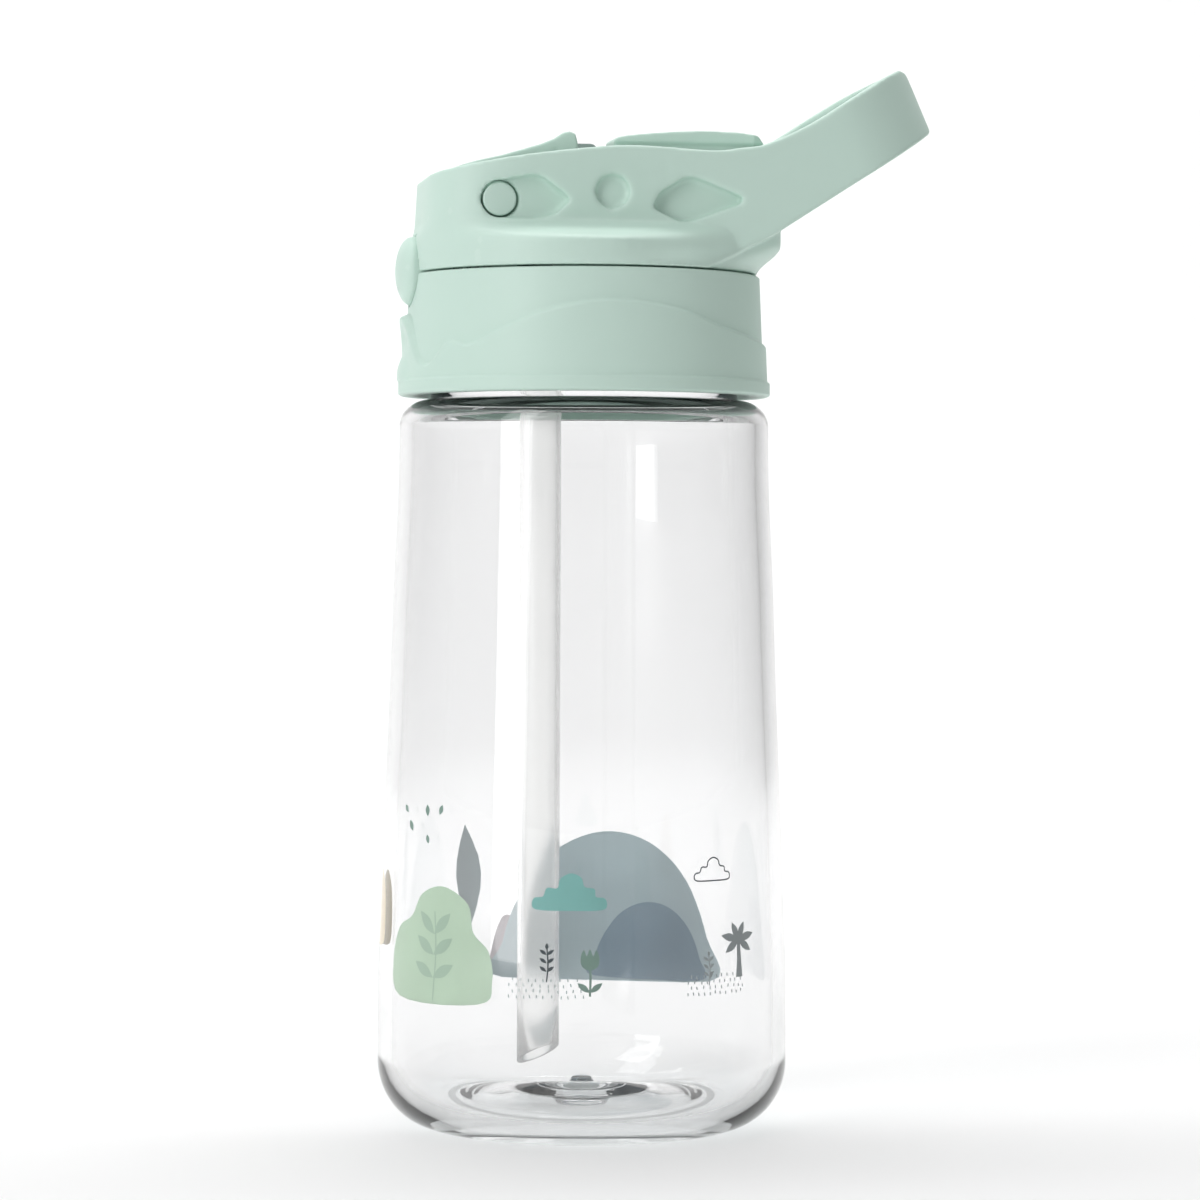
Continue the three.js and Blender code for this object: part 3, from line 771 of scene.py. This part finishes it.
# housing, shield and lever
softParts = {
    # piece: node, voxel in mm, rounds of softening, material, body, slot
    "lidHousing": ("lid_housing", 0.42, 5, mint, "lid", "mint_plastic"),
    "innerDeck": ("inner_deck", 0.5, 4, mintInside, "lid", "inner_plastic"),
    "spoutLever": ("spout_lever", 0.26, 7, mint, "spout", "mint_plastic"),
    "latchHook": ("latch_hook", 0.2, 4, mintInside, "button", "inner_plastic"),
    "feedTube": ("feed_tube", 0.2, 5, silicone, "lid", "silicone"),
}
for piece, (node, voxel, rounds, material, body, slot) in softParts.items():
    addPiece(piece, softenedCopy(piece, node, voxel, rounds), material, body, (node,))

cap = {"edge": 177.1, "depth": 1.3, "inset": 0.03, "halfWidth": 16.2, "fall": 0.25}


def capAcross(point):
    # the shield's side is drawn in under its cap, and the cap is slightly domed
    z = point.z / mm
    under = smoothStep(cap["edge"] - z, 0, cap["depth"])
    drop = cap["fall"] * (point.y / mm / cap["halfWidth"]) ** 2 * (1 - under)
    return Vector((point.x, point.y * (1 - cap["inset"] * under), point.z - drop * mm))


addPiece("spoutShield", softenedCopy("spoutShield", "spout_shield", 0.26, 6, capAcross), mint, "lid",
         ("spout_shield",))
print("housing, shield and lever are moulded")


# small turned pieces
pivot = {"x": -18.2, "z": 165.7}
pin = {"start": 8.8, "neck": 16.6, "head": 17, "end": 19.6, "shaft": 2.3, "headRadius": 2.95}
spout = {
    "z": 171.7, "start": -3, "end": 24.4, "radius": 5.9, "bore": 2.0, "seat": 12.2,
    "nozzle": 3.0, "nozzleStart": -9, "nozzleLength": 14,
}
strawSize = {
    "x": -8, "outer": 3.8, "inner": 3.0, "top": 146, "low": 11,
    "cutRise": 4.2, "riseAngle": -52, "straightTo": 22, "rows": 30, "edge": 0.12,
}
ventX = 13


def pinProfile():
    return rounded([(0, pin["start"]), (pin["shaft"], pin["start"]), (pin["shaft"], pin["neck"]),
                    (pin["headRadius"], pin["head"]), (pin["headRadius"], pin["end"]),
                    (0, pin["end"])], 0.35)


def makeStubs():
    left = laidAlong(turnedMesh("hingeStubLeft", pinProfile(), 64), "Y", (0, 0, 0))
    left.transform(Matrix.Scale(-1, 4, (0, 1, 0)))
    left.flip_normals()
    right = laidAlong(turnedMesh("hingeStubRight", pinProfile(), 64), "Y", (0, 0, 0))
    for mesh in (left, right):
        mesh.transform(Matrix.Translation((pivot["x"] * mm, 0, pivot["z"] * mm)))
    addPiece("hingeStubLeft", left, mint, "spout", ("hinge_stub_left",))
    addPiece("hingeStubRight", right, mint, "spout", ("hinge_stub_right",))


def makeMouthpiece():
    long = spout["end"] - spout["start"]
    outer, hollow, bore, seat = spout["radius"], spout["nozzle"] + 0.3, spout["bore"], spout["seat"]
    profile = rounded([(hollow, 0.8), (hollow, 0), (outer, 0), (outer, 4.4), (outer - 0.9, 5.2),
                       (outer - 1.3, 9), (outer - 1, long - 5), (outer - 0.4, long - 2.4),
                       (outer - 0.9, long - 0.3), (outer - 2, long), (bore, long), (bore, seat),
                       (hollow, seat), (hollow, 0.9)], 0.6)
    mesh = turnedMesh("mouthpiece", profile, 96, closed=True)
    laidAlong(mesh, "X", (spout["start"], 0, spout["z"]))
    addPiece("mouthpiece", mesh, silicone, "spout", ("mouthpiece",))
    pipeOuter, pipeLong = spout["nozzle"], spout["nozzleLength"]
    pipe = rounded([(bore, 1), (bore, 0), (pipeOuter, 0), (pipeOuter, pipeLong), (bore, pipeLong),
                    (bore, 1.1)], 0.3)
    mesh = turnedMesh("spoutNozzle", pipe, 64, closed=True)
    laidAlong(mesh, "X", (spout["nozzleStart"], 0, spout["z"]))
    addPiece("spoutNozzle", mesh, mintInside, "spout", ("spout_nozzle",))


def makeDrinkingLine():
    x = strawSize["x"]
    socket = rounded([(4.1, 137), (4.1, 136), (4.9, 136), (4.9, 149.2), (6.3, 149.2), (6.3, 150.7),
                      (1.8, 150.7), (1.8, 152.6), (1.3, 152.6), (1.3, 146.3), (4.1, 146.3),
                      (4.1, 137.2)], 0.25)
    mesh = turnedMesh("strawSocket", socket, 72, closed=True)
    mesh.transform(Matrix.Translation((x * mm, 0, 0)))
    addPiece("strawSocket", mesh, mintInside, "lid", ("straw_socket",))

    def strawProfile(angle):
        # the lower end is cut at a slant
        lift = math.cos(angle - math.radians(strawSize["riseAngle"]))
        outer, inner = strawSize["outer"], strawSize["inner"]

        def cutAt(r):
            return strawSize["low"] + strawSize["cutRise"] * (0.5 + 0.5 * lift * r / outer)

        straight, count, edge = (strawSize[k] for k in ("straightTo", "rows", "edge"))
        rows = [strawSize["top"] - (strawSize["top"] - straight) * i / count for i in range(count + 1)]
        down = [(outer, z) for z in rows] + [(outer, cutAt(outer) + edge)]
        lip = [(outer - edge, cutAt(outer - edge)), (inner + edge, cutAt(inner + edge))]
        up = [(inner, cutAt(inner) + edge)] + [(inner, z) for z in reversed(rows)]
        return down + lip + up

    mesh = turnedMesh("straw", strawProfile, 72, closed=True)
    mesh.transform(Matrix.Translation((x * mm, 0, 0)))
    addPiece("drinkingStraw", mesh, milky, "lid", ("straw",))


def makeSeals():
    ring = rounded([(25, 145), (25, 143.8), (28.6, 143.8), (28.6, 146.3), (25, 146.3), (25, 145.1)], 0.7)
    addPiece("lidGasket", turnedMesh("lidGasket", ring, 128, closed=True), sealSilicone, "lid_seal",
             ("lid_gasket",))
    valve = rounded([(0, 143.6), (1.4, 144.2), (2.4, 146), (2.4, 149.2), (4, 149.2), (4, 150.1),
                     (0, 150.3)], 0.4)
    mesh = turnedMesh("ventValve", valve, 48)
    mesh.transform(Matrix.Translation((ventX * mm, 0, 0)))
    addPiece("ventValve", mesh, silicone, "lid", ("vent_valve",))


def makeButton():
    b = buttonPlace
    dome = arcPoints((0, 0.4), b["radius"], b["dome"] + 0.4, -90, 0, 20)
    radius, back, stem = b["radius"], b["back"], b["stem"]
    flange, front, end = radius + b["flange"], back - b["flangeThick"], back + b["stemLength"]
    profile = dome + rounded(
        [(radius, 0.5), (radius, 4.1), (radius, 4.25), (radius, front), (flange, front), (flange, back),
         (stem, back), (stem, end), (0, end)], 0.3)
    profile[0] = (0, profile[0][1])
    mesh = laidAlong(turnedMesh("pushButton", profile, 96), "X", (b["x"], 0, b["z"]))
    for vertex in mesh.vertices:
        if vertex.co.x > b["flatFrom"] * mm:  # the foot is flat below, to pass over the deck
            vertex.co.z = max(vertex.co.z, b["flatHigh"] * mm)
    addPiece("pushButton", mesh, mint, "button", ("push_button",))


def springMesh(name, radius, length, turns, wire, stepsPerTurn=40, sides=12):
    # a round wire wound in a coil along Z, with flat ends
    bm = bmesh.new()
    total = turns * stepsPerTurn
    rings = []
    for i in range(total + 1):
        a = 2 * math.pi * i / stepsPerTurn
        rise = wire + (length - 2 * wire) * i / total
        centre = Vector((radius * math.cos(a), radius * math.sin(a), rise))
        outward = Vector((math.cos(a), math.sin(a), 0))
        rings.append([bm.verts.new((centre + outward * wire * math.cos(2 * math.pi * k / sides)
                                    + Vector((0, 0, wire * math.sin(2 * math.pi * k / sides)))) * mm)
                      for k in range(sides)])
    for low, high in zip(rings, rings[1:]):
        for k in range(sides):
            bm.faces.new((low[k], low[(k + 1) % sides], high[(k + 1) % sides], high[k]))
    bm.faces.new(rings[0])
    bm.faces.new(rings[-1])
    return finishMesh(name, bm)


springs = {
    "wire": 0.38,
    "button": {"radius": 3.2, "length": 8.2, "turns": 5, "start": -26},
    "torsion": {"radius": 3.3, "length": 2.8, "turns": 3, "start": -11.2},
}


def makeSprings():
    b, t = springs["button"], springs["torsion"]
    mesh = springMesh("buttonSpring", b["radius"], b["length"], b["turns"], springs["wire"])
    laidAlong(mesh, "X", (b["start"], 0, buttonPlace["z"]))
    pressed = addPiece("buttonSpring", mesh, steel, "button", ("button_spring",))
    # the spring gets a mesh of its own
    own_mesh(pressed)
    mesh = springMesh("torsionSpring", t["radius"], t["length"], t["turns"], springs["wire"])
    laidAlong(mesh, "Y", (pivot["x"], t["start"], pivot["z"]))
    addPiece("torsionSpring", mesh, steel, "lid", ("torsion_spring",))


makeStubs()
makeMouthpiece()
makeDrinkingLine()
makeSeals()
makeButton()
makeSprings()
print("small pieces are turned")


# printed pictures on the bottle
inkDepth = 0.1  # under the clear surface, in mm
inkThickness = 0.02
inkStep = 0.03  # from one layer to the next
wrapRadius = 36.5  # turns a flat width into an angle
inks = {
    "sage": (0.54, 0.68, 0.54),
    "slate": (0.55, 0.66, 0.69),
    "teal": (0.27, 0.56, 0.53),
    "dark": (0.05, 0.07, 0.08),
    "green": (0.24, 0.36, 0.31),
    "grey": (0.50, 0.55, 0.56),
    "mauve": (0.56, 0.50, 0.53),
    "cream": (0.78, 0.66, 0.45),
    "pale": (0.78, 0.86, 0.88),
    "deep": (0.28, 0.38, 0.46),
    "moss": (0.42, 0.56, 0.45),
}
inkMeshes = {name: bmesh.new() for name in inks}


def flatFaces(outline, step=1.1):
    # triangles that fill a closed outline, small enough to follow the bottle's curve
    points = [Vector(p) for p in outline]
    xs, ys = [p.x for p in points], [p.y for p in points]
    edges = [(i, (i + 1) % len(points)) for i in range(len(points))]
    grid = []
    x = min(xs) + step * 0.5
    while x < max(xs):
        y = min(ys) + step * 0.5
        while y < max(ys):
            grid.append(Vector((x, y)))
            y += step
        x += step
    made = delaunay_2d_cdt(points + grid, edges, [], 1, 1e-5)
    return made[0], made[2]


def printShape(ink, outline, angle, height, far=False, layer=0):
    # lays a flat outline (mm) on the bottle at an angle (degrees) and height (mm)
    points, faces = flatFaces(outline)
    bm = inkMeshes[ink]
    side = -1 if far else 1
    top = inkDepth - side * layer * inkStep  # later layers lie nearer to the one who looks
    sheets = []
    for depth in (top, top + inkThickness):
        sheet = []
        for p in points:
            z = height + p.y
            r = outerRadius(z) - depth
            a = math.radians(angle) + side * p.x / wrapRadius
            sheet.append(bm.verts.new((r * mm * math.cos(a), r * mm * math.sin(a), z * mm)))
        sheets.append(sheet)
    border = {}
    for face in faces:
        for i, v in enumerate(face):
            pair = (v, face[(i + 1) % len(face)])
            border[frozenset(pair)] = None if frozenset(pair) in border else pair
        bm.faces.new([sheets[0][v] for v in face])
        bm.faces.new([sheets[1][v] for v in reversed(face)])
    for pair in border.values():
        if pair:
            a, b = pair
            bm.faces.new((sheets[0][a], sheets[1][a], sheets[1][b], sheets[0][b]))


def blob(points, steps=5):
    return throughPoints(points, steps, loop=True)


def stroke(points, width, taper=0.5, steps=5):
    # a line with a width, drawn as one outline
    line = throughPoints(points, steps) if len(points) > 2 else [points[0], points[1]]
    left, right = [], []
    for i, p in enumerate(line):
        ahead = Vector(line[min(i + 1, len(line) - 1)]) - Vector(line[max(i - 1, 0)])
        normal = Vector((-ahead.y, ahead.x)).normalized()
        half = width / 2 * (1 - (1 - taper) * abs(2 * i / (len(line) - 1) - 1))
        left.append(tuple(Vector(p) + normal * half))
        right.append(tuple(Vector(p) - normal * half))
    return left + right[::-1]


def leaf(x, y, long, wide, tilt):
    t = math.radians(tilt)
    half = [(i / 6, math.sin(math.pi * i / 6)) for i in range(7)]
    ring = [(a * long, b * wide / 2) for a, b in half]
    ring += [(a * long, -b * wide / 2) for a, b in half[-2:0:-1]]
    return [(x + a * math.cos(t) - b * math.sin(t), y + a * math.sin(t) + b * math.cos(t))
            for a, b in ring]


def scaled(outline, size):
    return [(x * size, y * size) for x, y in outline]


# plain outlines, one unit tall
bush = [(-0.5, 0), (0.5, 0), (0.64, 0.2), (0.6, 0.46), (0.44, 0.62), (0.38, 0.86), (0.1, 1.0),
        (-0.18, 0.92), (-0.32, 0.72), (-0.54, 0.6), (-0.64, 0.3)]
hill = [(-0.8, 0), (0.8, 0), (0.78, 0.3), (0.6, 0.68), (0.3, 0.93), (-0.06, 1.0), (-0.42, 0.86),
        (-0.68, 0.55), (-0.8, 0.24)]
cloud = [(-0.46, 0.0), (0.0, -0.01), (0.46, 0.0), (0.54, 0.08), (0.5, 0.17), (0.38, 0.19),
         (0.36, 0.3), (0.22, 0.33), (0.17, 0.46), (0.02, 0.52), (-0.13, 0.44), (-0.17, 0.31),
         (-0.32, 0.31), (-0.38, 0.19), (-0.5, 0.17), (-0.54, 0.08)]
tulipCup = [(0, 0.56), (0.17, 0.64), (0.2, 0.84), (0.13, 1.0), (0.07, 0.86), (0, 1.02),
            (-0.07, 0.86), (-0.13, 1.0), (-0.2, 0.84), (-0.17, 0.64)]
palmTrunk = [(-0.09, 0), (0.09, 0), (0.06, 0.35), (0.045, 0.7), (-0.045, 0.7), (-0.05, 0.35)]


def drawBush(ink, markInk, angle, height, tall):
    printShape(ink, blob(scaled(bush, tall)), angle, height)
    stem = stroke([(0, 0), (0.03 * tall, 0.4 * tall), (0, 0.78 * tall)], 0.3, 0.8)
    printShape(markInk, stem, angle, height, layer=1)
    for y, tilt in ((0.2, 28), (0.2, 152), (0.4, 35), (0.4, 145), (0.58, 45), (0.58, 135)):
        printShape(markInk, leaf(0, y * tall, 0.27 * tall, 0.1 * tall, tilt), angle, height, layer=1.4)


def drawHill(ink, frontInk, angle, height, tall):
    # a hill on the far side, with a lower one in front of it
    printShape(ink, blob(scaled(hill, tall)), angle, height, far=True)
    low = 0.52 * tall
    front = blob([(x * low + 0.3 * tall, y * low) for x, y in hill])
    printShape(frontInk, front, angle, height, far=True, layer=1)


def drawOutline(ink, points, width, angle, height):
    for a, b in zip(points, points[1:] + points[:1]):
        printShape(ink, stroke([a, b], width, 1.0), angle, height)


def drawSprig(ink, angle, height, tall, leaves=3):
    printShape(ink, stroke([(0, 0), (0.04 * tall, tall * 0.5), (0, tall)], 0.28, 0.8), angle, height)
    for i in range(leaves):
        y = tall * (0.3 + 0.24 * i)
        for tilt in (35, 145):
            printShape(ink, leaf(0, y, tall * 0.26, tall * 0.1, tilt), angle, height, layer=0.4)
    printShape(ink, leaf(0, tall * 0.92, tall * 0.2, tall * 0.1, 90), angle, height, layer=0.4)


def drawTulip(angle, height, tall):
    printShape("green", stroke([(0, 0), (0.1, tall * 0.4), (0, tall * 0.62)], 0.4, 0.9), angle, height)
    for tilt in (38, 142):
        printShape("green", leaf(0, tall * 0.08, tall * 0.34, tall * 0.13, tilt), angle, height,
                   layer=0.4)
    printShape("green", blob(scaled(tulipCup, tall), 3), angle, height, layer=0.4)


def drawPalm(angle, height, tall):
    printShape("grey", scaled(palmTrunk, tall), angle, height)
    for tilt, long in ((-32, 0.42), (12, 0.46), (62, 0.36), (118, 0.36), (168, 0.46), (212, 0.42)):
        printShape("grey", leaf(0, tall * 0.68, long * tall, 0.15 * tall, tilt), angle, height,
                   layer=0.4)


def drawGrass(startAngle, endAngle, low, rows):
    for row in range(rows):
        angle = startAngle + (row % 2) * 1.1
        while angle < endAngle:
            y = row * 0.95 + random.uniform(-0.15, 0.15)
            lean = random.uniform(-0.12, 0.12)
            printShape("grey", stroke([(0, y), (lean, y + 0.55)], 0.24, 0.9), angle, low)
            angle += random.uniform(1.7, 2.5)


def drawPictures():
    drawBush("sage", "moss", 216, 25.2, 20)
    drawHill("slate", "deep", 72, 23, 27.5)
    printShape("pale", leaf(0, 0, 19, 6.5, 97), 118, 33.5, far=True, layer=-1)
    printShape("mauve", blob([(-3.4, 0), (-3, 6), (-1, 10.6), (1.6, 10), (3.4, 5), (3.2, 0)]), 105, 24,
               far=True, layer=-1)
    printShape("cream", blob([(-3.4, 0), (-4, 5), (-2.6, 11), (0, 13), (2.6, 10), (3.6, 4), (2.8, 0)]),
               181, 33.5)
    printShape("teal", blob(scaled(cloud, 12.2)), 257.5, 42)
    drawOutline("dark", blob(scaled(cloud, 7.6), 3), 0.24, 300, 46.6)
    drawSprig("dark", 251.5, 29.6, 6.0)
    drawTulip(263.2, 27.2, 8.0)
    drawSprig("grey", 298, 28.4, 5.4)
    drawPalm(309.5, 29.4, 9.6)
    drawGrass(241, 262, 26.8, 4)
    drawGrass(291, 311, 26.8, 4)
    for x, y, size, tilt in ((-2.6, 1.4, 2.2, 120), (1.8, 4.2, 2.1, 95), (5.0, 4.6, 1.9, 70),
                             (2.2, -0.6, 1.7, 105), (-4.4, 4.6, 1.8, 135)):
        printShape("green", leaf(x, y, size, size * 0.55, tilt), 209, 53)
    for name, bm in inkMeshes.items():
        pieceName = "print" + name.capitalize()
        mesh = finishMesh(pieceName, bm)
        addPiece(pieceName, mesh, printInk("ink" + name.capitalize(), inks[name]), "bottle",
                 smooth=False)


drawPictures()
print("pictures are printed")
